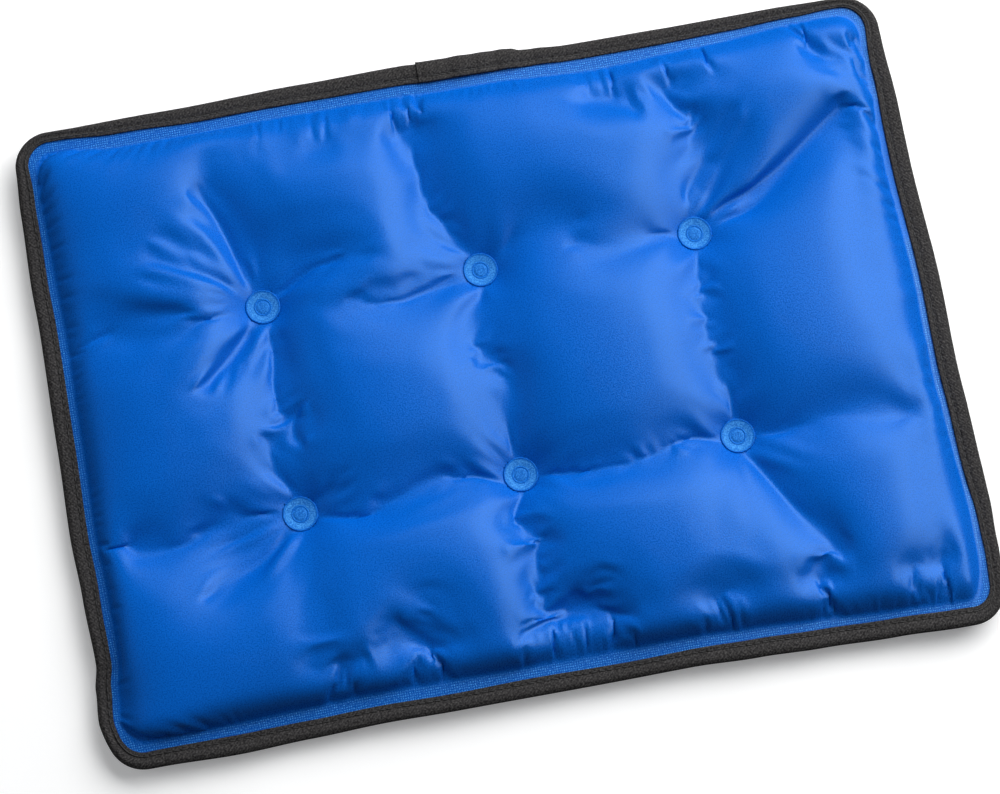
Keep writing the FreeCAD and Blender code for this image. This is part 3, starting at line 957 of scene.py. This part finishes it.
def stitches(at, track, side):
    """Points of every stitch along a track: rings of a flattened sausage that faces side."""
    stitch_at = np.arange(FIRST_STITCH, at[-1] - FIRST_STITCH, STITCH_PITCH)
    middle, ahead = (
        np.stack([np.interp(stitch_at + step, at, track[:, k]) for k in range(3)], -1)
        for step in (0, 1)
    )
    heading = unit(ahead - middle)
    up = np.array([0, 0, side], float)
    sideways = np.cross(heading, up)
    angle = np.linspace(0, 2 * math.pi, 8, endpoint=False)
    along = np.linspace(-1, 1, 7)[:, None]
    thick = np.sqrt(np.clip(1 - along**4, 0.02, 1))
    wide = THREAD_WIDE * thick * np.cos(angle)
    high = THREAD_PROUD + THREAD_HIGH * thick * np.sin(angle)
    return (
        middle[:, None, None]
        + STITCH_HALF * along[..., None] * heading[:, None, None]
        + wide[..., None] * sideways[:, None, None]
        + high[..., None] * up
    )


def build_thread(at, placed):
    """The two threads of the lockstitch, each lying in the groove of one face of the tape."""
    thread = spun_thread()
    inner_points = 6
    columns = (STITCH_COLUMN, placed.shape[1] - inner_points - 1 - STITCH_COLUMN)
    for name, side, column in zip(("needle_thread", "bobbin_thread"), (1, -1), columns):
        points = stitches(at, placed[:, column], side)
        number = np.arange(points[..., 0].size).reshape(points.shape[:3])
        a, b = number[:, :-1], number[:, 1:]
        quads = np.stack([a, b, np.roll(b, -1, 2), np.roll(a, -1, 2)], -1).reshape(-1, 4)
        caps = np.concatenate([number[:, 0], number[:, -1, ::-1]])
        if side < 0:
            quads, caps = quads[:, ::-1], caps[:, ::-1]
        piece = new_object(name + "_stitches", points, [quads, caps])
        finish_piece(piece, thread, "thread", name)


# ------------ stage, light and camera
FLOOR_HALF = 4.0  # metres


def build_floor():
    """A plain white floor. It gives the pad no bounce or reflection, only its shadow shows."""
    mesh = bpy.data.meshes.new("floor")
    corners = [(x * FLOOR_HALF, y * FLOOR_HALF, 0) for x, y in ((-1, -1), (1, -1), (1, 1), (-1, 1))]
    mesh.from_pydata(corners, [], [(0, 1, 2, 3)])
    floor = bpy.data.objects.new("floor", mesh)
    bpy.context.scene.collection.objects.link(floor)
    look = Look("paper_floor")
    grain = look.noise(400.0, 2.0).outputs["Fac"]
    look.put(look.shader.inputs["Emission Color"], (1, 1, 1))
    look.put(look.shader.inputs["Emission Strength"], 0.22)
    mesh.materials.append(look.finish(look.mixed(grain, (0.93, 0.93, 0.93), (0.96, 0.96, 0.96)), 0.9))
    floor.visible_diffuse = False
    floor.visible_glossy = False


def add_softbox(name, azimuth, elevation, distance, size, power, glossy=True, diffuse=True):
    """A rectangular softbox that faces the pad. Azimuth 0 is to the right, 90 behind it.

    glossy and diffuse say whether it shows in reflections and in diffuse light.
    """
    data = bpy.data.lights.new(name, "AREA")
    data.shape = "RECTANGLE"
    data.size, data.size_y = size
    data.energy = power
    lamp = bpy.data.objects.new(name, data)
    a, e = math.radians(azimuth), math.radians(elevation)
    towards = Vector((math.cos(e) * math.cos(a), math.cos(e) * math.sin(a), math.sin(e)))
    away = Matrix.Translation(distance * towards)
    turn = Matrix.Rotation(a + math.pi / 2, 4, "Z") @ Matrix.Rotation(math.pi / 2 - e, 4, "X")
    lamp.matrix_world = away @ turn
    lamp.visible_glossy = glossy
    lamp.visible_diffuse = diffuse
    bpy.context.scene.collection.objects.link(lamp)


def build_light():
    """White softboxes: one for the sheen on the slopes that face right, two for the colour."""
    world = bpy.data.worlds.new("studio")
    world.use_nodes = True
    background = world.node_tree.nodes["Background"]
    background.inputs["Color"].default_value = (0.85, 0.92, 1, 1)
    background.inputs["Strength"].default_value = 0.07
    bpy.context.scene.world = world
    add_softbox("key_softbox", 13, 44, 1.4, (2.0, 1.0), 17.5, diffuse=False)
    add_softbox("back_softbox", 45, 42, 1.6, (2.0, 1.4), 45.0, glossy=False)
    add_softbox("left_fill", 170, 35, 1.6, (1.4, 1.0), 4.0, glossy=False)


# The camera's axes, place in metres and lens, solved from the pad's sides and tacks
CAMERA_RIGHT = (0.9798, -0.1893, 0.0641)
CAMERA_UP = (0.1721, 0.9624, 0.2102)
CAMERA_BACK = (-0.1015, -0.1949, 0.9756)
CAMERA_PLACE = (-0.1212, -0.2340, 1.1196)  # from the middle of the weld plane
CAMERA_LENS = 100.8


def build_camera():
    data = bpy.data.cameras.new("camera")
    data.lens = CAMERA_LENS
    data.sensor_width = 36.0
    data.clip_end = 20.0
    camera = bpy.data.objects.new("camera", data)
    x, y, z = CAMERA_PLACE
    columns = (CAMERA_RIGHT, CAMERA_UP, CAMERA_BACK, (x, y, z + WELD_Z * MM))
    camera.matrix_world = Matrix([[*row, 0] for row in columns]).transposed()
    camera.matrix_world[3][3] = 1.0
    bpy.context.scene.collection.objects.link(camera)
    bpy.context.scene.camera = camera


build_camera()
build_light()
build_floor()
build_filled_part()
build_tacks()
build_thread(*build_binding())
bpy.context.scene.view_settings.view_transform = "Standard"
